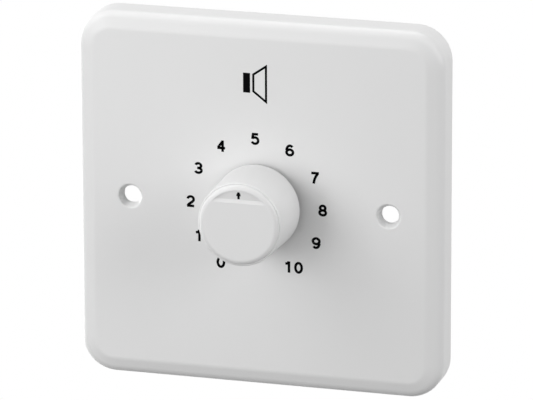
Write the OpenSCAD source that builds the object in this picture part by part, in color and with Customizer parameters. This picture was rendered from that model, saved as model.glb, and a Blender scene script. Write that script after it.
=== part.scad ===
// Speaker volume control on a square wall plate.
// The plate's rear rim lies in the wall plane at y = 0. The front faces -Y and +Z is up.
// Each piece is modelled face up, with x to the right, y up the wall and z towards the viewer,
// and wall_frame() then stands it against the wall.

/* [Wall plate] */
// Width and height of the square plate
plate_w = 85; // [83:0.5:88]
// Depth from the wall to the front face
plate_d = 8.5; // [7.5:0.1:10.5]
// Thickness of the front wall
plate_wall = 2.6; // [2.2:0.1:3.2]
// Thickness of the side skirt
skirt_t = 2.2; // [1.6:0.1:3]
// Radius of the four corners, seen from the front
corner_r = 8; // [7:0.1:10]
// Radius of the rounding between side and bevel
edge_r = 2.4; // [1.6:0.1:3]
// Slope of the bevel round the front face
bevel_deg = 15; // [8:1:20]
// Width of that bevel
bevel_w = 1.9; // [1:0.1:2.5]
// Radius of the soft edge between bevel and face
face_edge_r = 3; // [1.5:0.1:3.4]
// Distance between the two fixing holes
fixing_pitch = 60.3; // [58:0.1:62]
// Diameter of a fixing hole
fixing_d = 4.2; // [3.6:0.1:4.8]
// Diameter of a fixing hole where its lip starts
fixing_cone_d = 5.2; // [5:0.1:6.5]
// Depth of the cone in a fixing hole
fixing_cone_h = 1.0; // [0.6:0.1:1.2]
// Radius of the lip round a fixing hole
fixing_lip_r = 0.45; // [0.3:0.05:0.8]
// Thickness of the webs beside the board pillars
pillar_web_t = 1.2; // [0.8:0.1:1.6]
// Reach of those webs from the pillar's middle
pillar_web_reach = 6; // [5:0.5:7]
// Distance of those webs from the wall plane
pillar_web_gap = 1; // [0.6:0.1:2]

/* [Knob] */
// Height of the knob's face above the plate
knob_h = 15.5; // [14.5:0.1:18]
// Gap between knob and plate
knob_gap = 1.0; // [0.6:0.1:1.4]
// Diameter at the plate
knob_base_d = 20; // [19.4:0.1:22]
// Diameter at the front rim
knob_front_d = 19.2; // [19:0.1:19.8]
// Chamfer on the knob's rear edge and front rim
knob_edge = 0.2; // [0.1:0.05:0.25]
// Thickness of the wall round the rear cavity
knob_wall = 1.6; // [1.2:0.1:2]
// Depth of the rear cavity over the bush nut
knob_cavity_h = 5.6; // [5.4:0.1:6.2]
// Thickness of the web between wall and hub
knob_web_t = 1.4; // [1:0.1:2]
// Diameter of the hub
knob_hub_d = 11.2; // [10.6:0.1:12.4]
// Diameter of the cap
cap_d = 18.4; // [17.8:0.1:18.6]
// Clearance round the cap in its seat
cap_fit = 0.02; // [0.02:0.01:0.06]
// Thickness of the cap's disc
cap_t = 1.8; // [1.5:0.1:2.2]
// Height of the cap's face above the knob's rim
cap_proud = 0.75; // [0.7:0.05:1]
// Radius of the rounding at the cap's edge
cap_edge_r = 1.25; // [1.2:0.05:1.4]
// Width of that rounding
cap_edge_w = 1.1; // [0.8:0.05:1.15]
// Step from the cap's edge in to its skirt
cap_skirt_step = 0.8; // [0.6:0.1:1]
// Thickness of the cap's skirt
cap_skirt_t = 0.9; // [0.7:0.1:1.2]
// Length of the cap's skirt
cap_skirt_h = 3.4; // [2.4:0.1:4]
// Height of the pointer segment's chord above the knob's middle
pointer_chord = 5.1; // [4:0.1:6]
// Width of the slope from the chord down to the segment's floor
pointer_run = 0.75; // [0.4:0.05:1]
// Depth at the foot of that slope, from where the floor rises to the cap's edge
pointer_depth = 0.3; // [0.2:0.05:0.5]
// Width of the lip left round the pointer segment
pointer_lip = 1.2; // [1.15:0.05:1.6]

/* [Collet] */
// Diameter of the collet's straight part
collet_d = 7.2; // [7:0.1:8]
// Diameter of its flared end
collet_flare_d = 9.2; // [8.8:0.1:9.8]
// Length of the flare
collet_flare_h = 3.0; // [2.4:0.1:3.6]
// Length of the hub from the flare's end to the nut
collet_grip_h = 6.0; // [5:0.1:6.4]
// Width of the collet's slits
collet_slit = 0.7; // [0.5:0.05:1]
// Diameter of the collet nut
collet_nut_d = 10.4; // [9.4:0.1:11]
// Thickness of the collet nut
collet_nut_t = 1.4; // [1:0.1:1.6]
// Width of the key slots in the collet nut
collet_nut_slot = 1.4; // [1:0.1:2]

/* [Spindle and bush] */
// Diameter of the spindle
spindle_d = 6; // [5.6:0.1:6.4]
// Width across the spindle's rear flats
spindle_flat = 4.4; // [4:0.1:5]
// Depth of the clip groove
clip_groove = 0.6; // [0.4:0.05:0.8]
// Diameter of the clip
clip_d = 9.2; // [8:0.1:9.6]
// Thickness of the clip
clip_t = 0.6; // [0.5:0.05:0.8]
// Outside diameter of the bush
bush_d = 9.5; // [9:0.1:10]
// Bush left free in front of the nut
bush_spare = 0.8; // [0.6:0.1:1]
// Diameter of the bush's flange
bush_flange_d = 13.2; // [12:0.1:13.6]
// Thickness of the bush's flange
bush_flange_t = 1.2; // [1:0.1:1.6]
// Size of the nut across its flats
nut_af = 12.7; // [12:0.1:13]
// Thickness of the nut
nut_t = 2.4; // [2:0.1:2.5]
// Outside diameter of the lock washer
washer_d = 14.4; // [13:0.1:15]
// Thickness of the lock washer
washer_t = 0.7; // [0.5:0.1:0.8]
// Number of teeth on the lock washer
washer_teeth = 12; // [8:1:14]
// Width and depth of the gaps between those teeth
washer_gap = 1.1; // [0.8:0.1:1.3]

/* [Rotary switch] */
// Outside diameter of the switch
switch_d = 28.4; // [28:0.1:30]
// Thickness of the switch's front wall
switch_front_t = 2.0; // [1.6:0.1:2.6]
// Angle between two positions
step_deg = 30; // [24, 30]
// Number of positions
positions = 11; // [9:2:11]
// Diameter of the rotor
rotor_d = 20.6; // [20.2:0.1:21]
// Thickness of the rotor
rotor_t = 4.8; // [4.4:0.1:5.6]
// Diameter of the rotor's front hub
rotor_hub_d = 10; // [9:0.1:11]
// Length of that hub
rotor_hub_l = 2.0; // [1.8:0.1:2.4]
// Diameter of a detent ball
ball_d = 3.0; // [2.6:0.1:3.2]
// Height of a ball above the rotor's rim
ball_show = 1.2; // [1:0.05:1.3]
// Depth of the detent notches
notch_h = 0.7; // [0.4:0.05:0.8]
// Radius of a notch beyond the ball's own
notch_ease = 0.3; // [0.2:0.05:0.5]
// Thickness of the rotor between spindle and spring
pocket_floor = 1.2; // [1:0.1:1.5]
// Diameter of the spring wire
spring_wire_d = 0.35; // [0.3:0.01:0.4]
// Number of turns in a detent spring
spring_turns = 5; // [4:1:5]
// Thickness of the stop ring
stop_ring_t = 0.6; // [0.5:0.05:0.8]
// Inner radius of the stop tab and of the rotor's lug
stop_in_r = 8; // [7.6:0.1:8.4]
// Width of the stop tab and of the rotor's lug
stop_w = 2; // [1.6:0.1:2.2]
// Angle that the stop tab takes up
stop_tab_deg = 24; // [18:1:28]
// Angle left between lug and tab at each end of the turn
stop_play_deg = 0.6; // [0.4:0.1:1]
// Distance of the locating peg below the spindle
peg_drop = 11; // [9:0.1:12]
// Diameter of the locating peg
peg_d = 2.4; // [2:0.1:2.8]
// Length of the locating peg
peg_l = 1.1; // [0.8:0.1:1.3]
// Radius of the ring of tap contacts
tap_r = 9.0; // [8.8:0.1:9.1]
// Diameter of a tap contact's head
tap_head_d = 2.2; // [1.8:0.1:2.6]
// Diameter of the contact pins
tap_pin_d = 1.0; // [0.8:0.05:1.2]
// Radius of the common ring
common_r = 5.4; // [5:0.1:5.8]
// Width of the common ring
common_w = 1.6; // [1.2:0.1:2]
// Height of the contacts above the deck
contact_h = 0.4; // [0.3:0.05:0.6]
// Thickness of the wiper strip
wiper_t = 0.4; // [0.3:0.05:0.5]
// Width of the wiper strip
wiper_w = 3.2; // [2.6:0.1:4]
// Height of the wiper's contact points
wiper_point_h = 0.5; // [0.4:0.05:0.7]
// Thickness of the deck inside the housing
deck_t = 2.4; // [2:0.1:3]
// Thickness of the deck's outer flange
deck_flange_t = 1.2; // [1:0.1:1.6]
// Width of the ledge that the deck sits on
deck_ledge = 1.2; // [1:0.1:1.3]
// Distance of the deck screws from the middle
ear_x = 15.8; // [15.6:0.1:17]
// Diameter of the ears for the deck screws
ear_d = 5.2; // [4.8:0.1:6]
// Length of the ears on the housing
ear_h = 8; // [6:0.5:9]

/* [Circuit board] */
// Width of the board
board_w = 43; // [42.5:0.5:45]
// Height of the board
board_h = 62; // [61:0.5:66]
// Thickness of the board
board_t = 1.6; // [1.2:0.1:2]
// Distance of the pillars' middles from the board's side edges
pillar_inset_x = 3.3; // [3.1:0.1:3.8]
// Distance of the pillars' middles from the board's upper and lower edges
pillar_inset_y = 3.6; // [3.4:0.1:4.2]
// Diameter of the pillars
pillar_d = 6.0; // [5.6:0.1:6.4]
// Length of solder pin past the board
pin_out = 0.8; // [0.6:0.1:1]

/* [Transformer] */
// Width of the core's outer legs, which sets the whole core
lam_unit = 5; // [4.6:0.1:5.2]
// Thickness of the stack of laminations
stack_t = 15.5; // [12:0.5:16]
// Height of the transformer's middle above the plate's middle
transformer_y = 9.8; // [9.6:0.1:10.2]
// Wall of the bobbin
bobbin_wall = 0.8; // [0.6:0.1:1]
// Build-up of the winding on the bobbin
winding_build = 3.4; // [2.6:0.1:3.5]
// Thickness of the insulating tape
tape_t = 0.25; // [0.15:0.05:0.3]
// Width of winding left bare beside the tape
tape_bare = 0.6; // [0.4:0.1:1.2]
// Height of the bobbin's feet
bobbin_foot_h = 1.2; // [1:0.1:2]
// Length of the bobbin's feet, which are half as wide
bobbin_foot_l = 2; // [1.4:0.1:2.6]
// Thickness of the rail behind a pin's end
pin_floor = 0.6; // [0.4:0.1:1]
// Thickness of the pin rails
rail_t = 3.5; // [3:0.1:3.8]
// Reach of the pin rails past the flange
rail_reach = 4.2; // [3.6:0.1:4.8]
// Distance between transformer pins
transformer_pin_pitch = 3.2; // [3:0.1:3.3]
// Diameter of the transformer pins
transformer_pin_d = 0.9; // [0.7:0.05:1]
// Thickness of the clamp strap
clamp_t = 0.8; // [0.6:0.1:1.2]
// Length of the clamp's lips round the core's back
clamp_lip = 2.5; // [2:0.1:4]
// Width of the clamp's tabs
clamp_tab_w = 4; // [3:0.1:5]

/* [Terminals] */
// Number of wire entries
ways = 4; // [2:1:4]
// Distance between wire entries
way_pitch = 5.08; // [5:0.01:5.3]
// Wall outside the end entries
terminal_end_t = 0.6; // [0.5:0.1:1]
// Height of the terminal block off the board
terminal_h = 10.5; // [10:0.1:12]
// Depth of the terminal block along the board
terminal_l = 9.2; // [8.6:0.1:10]
// Distance of the block from the board's lower edge
terminal_edge = 0.6; // [0:0.1:1.4]
// Width and height of a wire entry
entry_w = 3.4; // [3.2:0.1:3.8]
// Floor under the wire entries
entry_floor = 1.9; // [1.4:0.1:2.2]
// Depth of a wire entry
entry_l = 8.0; // [7.4:0.1:8.2]
// Height of the slope above the wire entries
terminal_slope_h = 3.4; // [2:0.1:4]
// Depth of that slope along the board
terminal_slope_l = 1.8; // [1:0.1:2.4]
// Length of a wire clamp
clamp_block_l = 5.0; // [4.6:0.1:5.4]
// Diameter of the wire hole in a clamp
wire_hole_d = 2.2; // [1.8:0.1:2.4]
// Diameter of a terminal screw's head
terminal_head_d = 3.8; // [3.4:0.1:4]
// Height of a terminal screw's head
terminal_head_h = 1.6; // [1.4:0.1:2]
// Diameter of a terminal screw's shank
terminal_screw_d = 2.0; // [1.8:0.1:2.2]
// Diameter of the terminal pins
terminal_pin_d = 1.2; // [1:0.1:1.3]

/* [Screws] */
// Diameter of the deck screws' shanks
deck_screw_d = 2.2; // [2:0.1:2.4]
// Diameter of the deck screws' heads
deck_head_d = 4.2; // [3.8:0.1:4.6]
// Height of the deck screws' heads
deck_head_h = 1.3; // [1.1:0.1:1.6]
// Length of the deck screws' shanks
deck_screw_l = 7.2; // [6:0.1:8]
// Diameter of the board screws' shanks
board_screw_d = 2.3; // [2:0.1:2.5]
// Diameter of the board screws' heads
board_head_d = 5.4; // [5:0.1:6]
// Height of the board screws' heads
board_head_h = 2.0; // [1.6:0.1:2.4]
// Length of the board screws' shanks
board_screw_l = 9.6; // [8:0.1:12]
// Width of the driver slots
driver_slot = 0.8; // [0.6:0.05:1]
// Chamfer round the screw heads
head_edge = 0.35; // [0.2:0.05:0.5]

/* [Fits] */
// Radial clearance of the spindle in its bush
running_fit = 0.05; // [0.03:0.01:0.08]
// Clearance between pieces that slip together
slip_fit = 0.06; // [0.03:0.01:0.1]
// Radial clearance of a bolt, pin or bush in its hole
hole_fit = 0.15; // [0.1:0.01:0.2]
// Clearance between a turning and a still face
turn_gap = 0.12; // [0.1:0.01:0.2]
// Clearance left over a screw head or a pin's end
head_gap = 0.9; // [0.7:0.1:1.2]
// Depth of a screw's hole past the screw's end
pilot_spare = 1; // [0.6:0.1:1.4]

/* [Hidden] */
$fn = 96;
cut = 0.01;

// Heights of the plate and of what clamps the switch to it
inner_h = plate_d - plate_wall;
nut_h = plate_d + washer_t;
bush_front_h = nut_h + nut_t + bush_spare;
corner_c = plate_w / 2 - corner_r;
bevel_start = corner_r - edge_r + edge_r * sin(bevel_deg);
edge_h = plate_d - edge_r * cos(bevel_deg) - bevel_w * tan(bevel_deg);
face_tangent = face_edge_r * tan(bevel_deg / 2);
face_start = bevel_start - bevel_w - face_tangent;

// Knob, from its rear edge to its face
knob_rear_h = plate_d + knob_gap;
knob_front_h = plate_d + knob_h;
knob_base_r = knob_base_d / 2;
rim_h = knob_front_h - cap_proud;
rim_r = knob_front_d / 2;
cap_r = cap_d / 2;
cap_flat_r = cap_r - cap_edge_w;
cap_seat_h = knob_front_h - cap_t;
cap_skirt_r = cap_r - cap_skirt_step;
web_rear_h = knob_rear_h + knob_cavity_h;
web_front_h = web_rear_h + knob_web_t;
clip_h = bush_front_h + turn_gap;
groove_r = spindle_d / 2 - clip_groove;
collet_rear_h = clip_h + clip_t + 2 * turn_gap;
collet_cone_h = collet_rear_h + collet_flare_h;
hub_front_h = collet_rear_h + collet_grip_h;
collet_nut_h = hub_front_h + collet_nut_t;
collet_sink = collet_nut_t / 3;
collet_front_h = collet_nut_h - collet_sink;
spindle_front_h = collet_front_h - turn_gap;

// Rotary switch, from its front wall back to its deck
switch_r = switch_d / 2;
flange_h = inner_h - switch_front_t;
rotor_hub_h = flange_h - bush_flange_t - turn_gap;
stop_h = flange_h - stop_ring_t;
stop_out_r = stop_in_r + stop_w;
stop_lug_deg = 360 - stop_tab_deg - step_deg * (positions - 1) - 2 * stop_play_deg;
rotor_front_h = rotor_hub_h - rotor_hub_l;
rotor_rear_h = rotor_front_h - rotor_t;
rotor_mid_h = rotor_front_h - rotor_t / 2;
rotor_r = rotor_d / 2;
ball_r = ball_d / 2;
ball_mid_r = rotor_r + ball_show - ball_r;
pocket_r = ball_r + slip_fit;
pocket_start = spindle_d / 2 + pocket_floor;
crest_r = ball_mid_r + ball_r + turn_gap;
notch_r = ball_r + notch_ease;
point_h = rotor_rear_h - wiper_t - wiper_point_h;
contact_top_h = point_h - turn_gap;
deck_front_h = contact_top_h - contact_h;
deck_r = crest_r + deck_ledge;
housing_rear_h = deck_front_h - deck_t;
deck_rear_h = housing_rear_h - deck_flange_t;
deck_screw_h = deck_rear_h + deck_screw_l;
wiper_mid_r = (tap_r + common_r) / 2;
wiper_peg_r = wiper_w / 5;

// Circuit board and what stands on it
pillar_x = board_w / 2 - pillar_inset_x;
pillar_y = board_h / 2 - pillar_inset_y;
board_front_h = deck_rear_h - deck_head_h - head_gap;
board_rear_h = board_front_h - board_t;
board_screw_h = board_rear_h + board_screw_l;
pin_end_h = board_rear_h - pin_out;
front_pin_end_h = board_front_h + pin_out;

// Transformer, measured from the middle of its core
core_len = 5 * lam_unit;
core_wid = 6 * lam_unit;
window_l = 3 * lam_unit;
tube_y = lam_unit + hole_fit + bobbin_wall;
tube_h = stack_t / 2 + hole_fit + bobbin_wall;
coil_y = tube_y + winding_build;
coil_h = tube_h + winding_build;
flange_y = 2 * lam_unit - hole_fit;
flange_half_h = coil_h + tape_t + 2 * slip_fit;
bobbin_half_l = window_l / 2 - hole_fit;
core_mid_h = board_rear_h - bobbin_foot_h - flange_half_h;
rail_front_h = board_rear_h - bobbin_foot_h;
clamp_in_x = core_len / 2 + slip_fit;
clamp_in_y = core_wid / 2 + slip_fit;
tab_slot_w = clamp_tab_w + 2 * hole_fit;
tab_slot_t = clamp_t + 2 * hole_fit;
pin_floor_h = rail_front_h - rail_t + pin_floor;
rail_pins = (positions + 1) / 2;
rail_pin_x = bobbin_half_l + rail_reach / 2;

// Terminal block
terminal_w = ways * way_pitch + 2 * terminal_end_t;
terminal_low_y = -board_h / 2 + terminal_edge;
terminal_rear_h = board_rear_h - terminal_h;
entry_mid_h = board_rear_h - entry_floor - entry_w / 2;
clamp_block_w = entry_w - 2 * slip_fit;
clamp_block_y = terminal_low_y + entry_l - slip_fit - clamp_block_l / 2;
terminal_seat_h = entry_mid_h - entry_w / 2 - slip_fit;

// Colours of the materials
white_plastic = "#e9e9e8";
brass = "#c9a750";
steel = "#b4b6b8";
zinc = "#c6c8ca";
black_plastic = "#2c2c2e";
cream_plastic = "#d9d4c4";
lamination = "#4a4d50";

// Stands what is modelled face up against the wall
module wall_frame() rotate([90, 0, 0]) children();

// Round bar about the z axis between two heights
module bar(r, from, to) translate([0, 0, min(from, to)]) cylinder(r = r, h = abs(to - from));

// Ring about the z axis between two heights
module ring(r_out, r_in, from, to) {
    difference() {
        bar(r_out, from, to);
        bar(r_in, min(from, to) - 1, max(from, to) + 1);
    }
}

// Part of a ring, from one angle to another
module sector(r_in, r_out, from, to, start_deg, turn_deg) {
    rotate(start_deg)
        rotate_extrude(angle = turn_deg)
            translate([r_in, from])
                square([r_out - r_in, to - from]);
}

// Square with round corners, both ways about the middle
module round_square(size, r) {
    union() {
        square([size.x - 2 * r, size.y], center = true);
        square([size.x, size.y - 2 * r], center = true);
        for (sx = [-1, 1], sy = [-1, 1])
            translate([sx * (size.x / 2 - r), sy * (size.y / 2 - r)])
                circle(r);
    }
}

// Upright strip with round ends between two distances from the middle
module round_strip(y0, y1, w, from, to) {
    translate([0, 0, from])
        linear_extrude(to - from)
            union() {
                translate([0, y0])
                    circle(w / 2);
                translate([0, y1])
                    circle(w / 2);
                translate([-w / 2, y0])
                    square([w, y1 - y0]);
            }
}

// Places its children at the four pillars
module at_pillars() {
    for (sx = [-1, 1], sy = [-1, 1])
        translate([sx * pillar_x, sy * pillar_y, 0])
            children();
}

// Places its children at the wire entries
module at_ways() {
    for (i = [0 : ways - 1])
        translate([(i - (ways - 1) / 2) * way_pitch, 0, 0])
            children();
}

// Places its children at the tap contacts, the first at the lower left
module at_taps() {
    for (k = [0 : positions - 1])
        rotate(90 - (k - (positions - 1) / 2) * step_deg)
            translate([tap_r, 0, 0])
                children();
}

// Chamfered and slotted head of a screw that is driven from behind
module slotted_head(d, seat, top) {
    difference() {
        rotate_extrude()
            polygon([
                [0, seat],
                [d / 2, seat],
                [d / 2, top + head_edge],
                [d / 2 - head_edge, top],
                [0, top]
            ]);
        translate([-d, -driver_slot / 2, top - cut])
            cube([2 * d, driver_slot, (seat - top) / 2 + cut]);
    }
}

// Half section of the plate's edge, measured from the middle of a corner
module plate_edge_profile() {
    union() {
        polygon([
            [0, 0],
            [corner_r, 0],
            [corner_r, edge_h],
            [corner_r - edge_r, edge_h],
            [bevel_start, edge_h + edge_r * cos(bevel_deg)],
            [face_start + face_edge_r * sin(bevel_deg), plate_d - face_tangent * sin(bevel_deg)],
            [face_start, plate_d],
            [0, plate_d]
        ]);
        translate([corner_r - edge_r, edge_h])
            circle(edge_r);
        translate([face_start, plate_d - face_edge_r])
            intersection() {
                circle(face_edge_r);
                square([face_edge_r * sin(bevel_deg), face_edge_r]);
            }
    }
}

// Plate before it is hollowed: four turned corners, four edges and the middle
module plate_blank() {
    union() {
        for (k = [0 : 3])
            rotate(k * 90) {
                translate([corner_c, corner_c, 0])
                    rotate_extrude(angle = 90)
                        plate_edge_profile();
                translate([corner_c, 0, 0])
                    rotate([90, 0, 0])
                        linear_extrude(2 * corner_c, center = true)
                            plate_edge_profile();
            }
        translate([-corner_c, -corner_c, 0])
            cube([2 * corner_c, 2 * corner_c, plate_d]);
    }
}

// Cut for one fixing hole: straight, then a cone, then a lip that opens to the face
module fixing_cut() {
    lip_h = plate_d - fixing_lip_r;
    bar(fixing_d / 2, inner_h - 1, lip_h);
    translate([0, 0, lip_h - fixing_cone_h])
        cylinder(d1 = fixing_d, d2 = fixing_cone_d, h = fixing_cone_h);
    rotate_extrude()
        difference() {
            translate([0, lip_h])
                square([fixing_cone_d / 2 + fixing_lip_r, fixing_lip_r + cut]);
            translate([fixing_cone_d / 2 + fixing_lip_r, lip_h])
                circle(fixing_lip_r);
        }
}

// Pillar for a board screw, with two webs on the plate's inner face
module board_pillar() {
    bar(pillar_d / 2, board_front_h, inner_h + cut);
    for (turn = [0, 90])
        rotate(turn)
            translate([-pillar_web_reach, -pillar_web_t / 2, pillar_web_gap])
                cube([2 * pillar_web_reach, pillar_web_t, inner_h - pillar_web_gap + cut]);
}

// White moulded plate with its pillars for the board
module front_plate() {
    color(white_plastic)
        wall_frame()
            difference() {
                union() {
                    difference() {
                        plate_blank();
                        translate([0, 0, -cut])
                            linear_extrude(inner_h + cut)
                                round_square([1, 1] * (plate_w - 2 * skirt_t), corner_r - skirt_t);
                    }
                    at_pillars()
                        board_pillar();
                }
                bar(bush_d / 2 + hole_fit, inner_h - 1, plate_d + 1);
                translate([0, -peg_drop, 0])
                    bar(peg_d / 2 + hole_fit, inner_h - 1, inner_h + peg_l + hole_fit);
                for (side = [-1, 1])
                    translate([side * fixing_pitch / 2, 0, 0])
                        fixing_cut();
                at_pillars()
                    bar(board_screw_d / 2 + slip_fit, board_front_h - 1, board_screw_h + pilot_spare);
            }
}

// Knob with a cavity over the nut, a web, a hub for the collet and a seat for the cap
module knob_body() {
    color(white_plastic)
        wall_frame()
            rotate_extrude()
                polygon([
                    [knob_base_r - knob_edge, knob_rear_h],
                    [knob_base_r, knob_rear_h + knob_edge],
                    [rim_r, rim_h - knob_edge],
                    [rim_r - knob_edge, rim_h],
                    [cap_r + cap_fit, rim_h],
                    [cap_r + cap_fit, cap_seat_h],
                    [cap_skirt_r + slip_fit, cap_seat_h],
                    [cap_skirt_r + slip_fit, web_front_h],
                    [knob_hub_d / 2, web_front_h],
                    [knob_hub_d / 2, hub_front_h],
                    [collet_d / 2 + slip_fit, hub_front_h],
                    [collet_d / 2 + slip_fit, collet_cone_h],
                    [collet_flare_d / 2 + slip_fit, collet_rear_h],
                    [knob_hub_d / 2, collet_rear_h],
                    [knob_hub_d / 2, web_rear_h],
                    [knob_base_r - knob_wall, web_rear_h],
                    [knob_base_r - knob_wall, knob_rear_h]
                ]);
}

// Cap with a rounded edge, a skirt and a sunk segment for the pointer
module knob_cap() {
    color(white_plastic)
        wall_frame()
            difference() {
                rotate_extrude()
                    union() {
                        translate([0, cap_seat_h])
                            square([cap_r, cap_t - cap_edge_r]);
                        translate([0, cap_seat_h])
                            square([cap_flat_r, cap_t]);
                        intersection() {
                            translate([cap_flat_r, knob_front_h - cap_edge_r])
                                circle(cap_edge_r);
                            translate([0, cap_seat_h])
                                square([cap_r, cap_t]);
                        }
                        translate([cap_skirt_r - cap_skirt_t, cap_seat_h - cap_skirt_h])
                            square([cap_skirt_t, cap_skirt_h + cut]);
                    }
                intersection() {
                    bar(cap_r - pointer_lip, knob_front_h - 2 * pointer_depth, knob_front_h + 1);
                    rotate([90, 0, 90])
                        linear_extrude(cap_d, center = true)
                            polygon([
                                [pointer_chord, knob_front_h],
                                [pointer_chord + pointer_run, knob_front_h - pointer_depth],
                                [cap_r, knob_front_h],
                                [cap_r, knob_front_h + 1],
                                [pointer_chord, knob_front_h + 1]
                            ]);
                }
            }
}

// Split collet: flared at the rear, straight where the nut runs
module knob_collet() {
    color(brass)
        wall_frame()
            difference() {
                union() {
                    translate([0, 0, collet_rear_h])
                        cylinder(d1 = collet_flare_d, d2 = collet_d, h = collet_flare_h);
                    bar(collet_d / 2, collet_cone_h, collet_front_h);
                }
                bar(spindle_d / 2 + running_fit / 2, collet_rear_h - 1, collet_front_h + 1);
                for (turn = [0 : 120 : 240])
                    rotate(turn)
                        translate([0, -collet_slit / 2, collet_rear_h - 1])
                            cube([collet_flare_d, collet_slit, collet_grip_h - collet_nut_t + 1]);
            }
}

// Round nut with two key slots
module collet_nut() {
    color(brass)
        wall_frame()
            difference() {
                ring(collet_nut_d / 2, collet_d / 2 + slip_fit, hub_front_h, collet_nut_h);
                translate([-collet_nut_d, -collet_nut_slot / 2, collet_nut_h - collet_nut_t / 2])
                    cube([2 * collet_nut_d, collet_nut_slot, collet_nut_t]);
            }
}

// Spindle with a clip groove in front and two flats at the rear
module spindle() {
    color(steel)
        wall_frame()
            difference() {
                bar(spindle_d / 2, rotor_rear_h, spindle_front_h);
                ring(spindle_d, groove_r, clip_h - slip_fit, clip_h + clip_t + slip_fit);
                for (side = [-1, 1])
                    translate([side * (spindle_flat / 2 + spindle_d / 2), 0, rotor_rear_h - 1])
                        translate([-spindle_d / 2, -spindle_d, 0])
                            cube([spindle_d, 2 * spindle_d, rotor_hub_h - rotor_rear_h + 1]);
            }
}

// Open clip that keeps the spindle from moving inwards
module spindle_clip() {
    color(steel)
        wall_frame()
            translate([0, 0, clip_h])
                linear_extrude(clip_t)
                    difference() {
                        circle(d = clip_d);
                        circle(groove_r + slip_fit);
                        translate([-groove_r, -clip_d])
                            square([2 * groove_r, clip_d]);
                    }
}

// Hexagon nut with chamfered corners
module bush_nut() {
    corner = nut_af / 2 / cos(30);
    chamfer = corner - nut_af / 2;
    color(zinc)
        wall_frame()
            difference() {
                intersection() {
                    translate([0, 0, nut_h])
                        cylinder(r = corner, h = nut_t, $fn = 6);
                    rotate_extrude()
                        polygon([
                            [0, nut_h],
                            [corner + cut, nut_h],
                            [corner + cut, nut_h + nut_t - chamfer / 2],
                            [corner - chamfer, nut_h + nut_t],
                            [0, nut_h + nut_t]
                        ]);
                }
                bar(bush_d / 2 + slip_fit, nut_h - 1, nut_h + nut_t + 1);
            }
}

// Lock washer with teeth round its edge
module bush_washer() {
    color(steel)
        wall_frame()
            translate([0, 0, plate_d])
                linear_extrude(washer_t)
                    difference() {
                        circle(d = washer_d);
                        circle(bush_d / 2 + hole_fit);
                        for (i = [0 : washer_teeth - 1])
                            rotate(i * 360 / washer_teeth)
                                translate([washer_d / 2 - washer_gap, -washer_gap / 2])
                                    square([washer_gap + 1, washer_gap]);
                    }
}

// Flanged bush that the spindle turns in
module switch_bush() {
    color(zinc)
        wall_frame()
            difference() {
                union() {
                    bar(bush_d / 2, flange_h, bush_front_h);
                    bar(bush_flange_d / 2, flange_h - bush_flange_t, flange_h);
                }
                bar(spindle_d / 2 + running_fit, flange_h - bush_flange_t - 1, bush_front_h + 1);
            }
}

// Ring with a tab at the bottom that the rotor's lug meets at both ends of its turn
module stop_ring() {
    color(steel)
        wall_frame()
            union() {
                ring(stop_out_r, bush_flange_d / 2 + slip_fit, stop_h, flange_h);
                sector(stop_in_r, stop_out_r, rotor_front_h + 3 * turn_gap, stop_h + cut,
                    270 - stop_tab_deg / 2, stop_tab_deg);
            }
}

// Screw ears at both sides of the switch, between two heights
module switch_ears(from, to) {
    for (side = [-1, 1]) {
        translate([side * ear_x, 0, 0])
            bar(ear_d / 2, from, to);
        translate([side > 0 ? deck_r : -ear_x, -ear_d / 2, min(from, to)])
            cube([ear_x - deck_r, ear_d, abs(to - from)]);
    }
}

// Moulded cup with detent notches round the inside
module switch_housing() {
    color(black_plastic)
        wall_frame()
            difference() {
                union() {
                    bar(switch_r, housing_rear_h, inner_h);
                    translate([0, -peg_drop, 0])
                        bar(peg_d / 2, inner_h - cut, inner_h + peg_l);
                    switch_ears(housing_rear_h, housing_rear_h + ear_h);
                }
                bar(bush_d / 2 + slip_fit, flange_h - 1, inner_h + 1);
                bar(crest_r, deck_front_h - 1, flange_h);
                bar(deck_r, housing_rear_h - 1, deck_front_h);
                for (i = [0 : 360 / step_deg - 1])
                    rotate(i * step_deg)
                        translate([crest_r + notch_h - notch_r, 0, 0])
                            bar(notch_r, deck_front_h - 1, rotor_front_h);
                for (side = [-1, 1])
                    translate([side * ear_x, 0, 0])
                        bar(deck_screw_d / 2 + slip_fit, housing_rear_h - 1, deck_screw_h + pilot_spare);
            }
}

// Rotor with a hub, a stop lug, two spring pockets and a peg that holds the wiper
module rotor() {
    color(cream_plastic)
        wall_frame()
            difference() {
                union() {
                    bar(rotor_r, rotor_rear_h, rotor_front_h);
                    bar(rotor_hub_d / 2, rotor_front_h - cut, rotor_hub_h);
                    sector(stop_in_r, stop_out_r, rotor_front_h - cut, stop_h - 3 * turn_gap,
                        90 - stop_lug_deg / 2, stop_lug_deg);
                    translate([0, wiper_mid_r, 0])
                        bar(wiper_peg_r, rotor_rear_h - wiper_t - wiper_point_h / 2, rotor_rear_h + cut);
                }
                intersection() {
                    bar(spindle_d / 2 + slip_fit, rotor_rear_h - 1, rotor_hub_h + 1);
                    translate([-spindle_flat / 2 - slip_fit, -spindle_d, rotor_rear_h - 1])
                        cube([spindle_flat + 2 * slip_fit, 2 * spindle_d, rotor_hub_h - rotor_rear_h + 2]);
                }
                for (side = [-1, 1])
                    translate([side * pocket_start, 0, rotor_mid_h])
                        rotate([0, side * 90, 0])
                            cylinder(r = pocket_r, h = rotor_r);
            }
}

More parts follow.
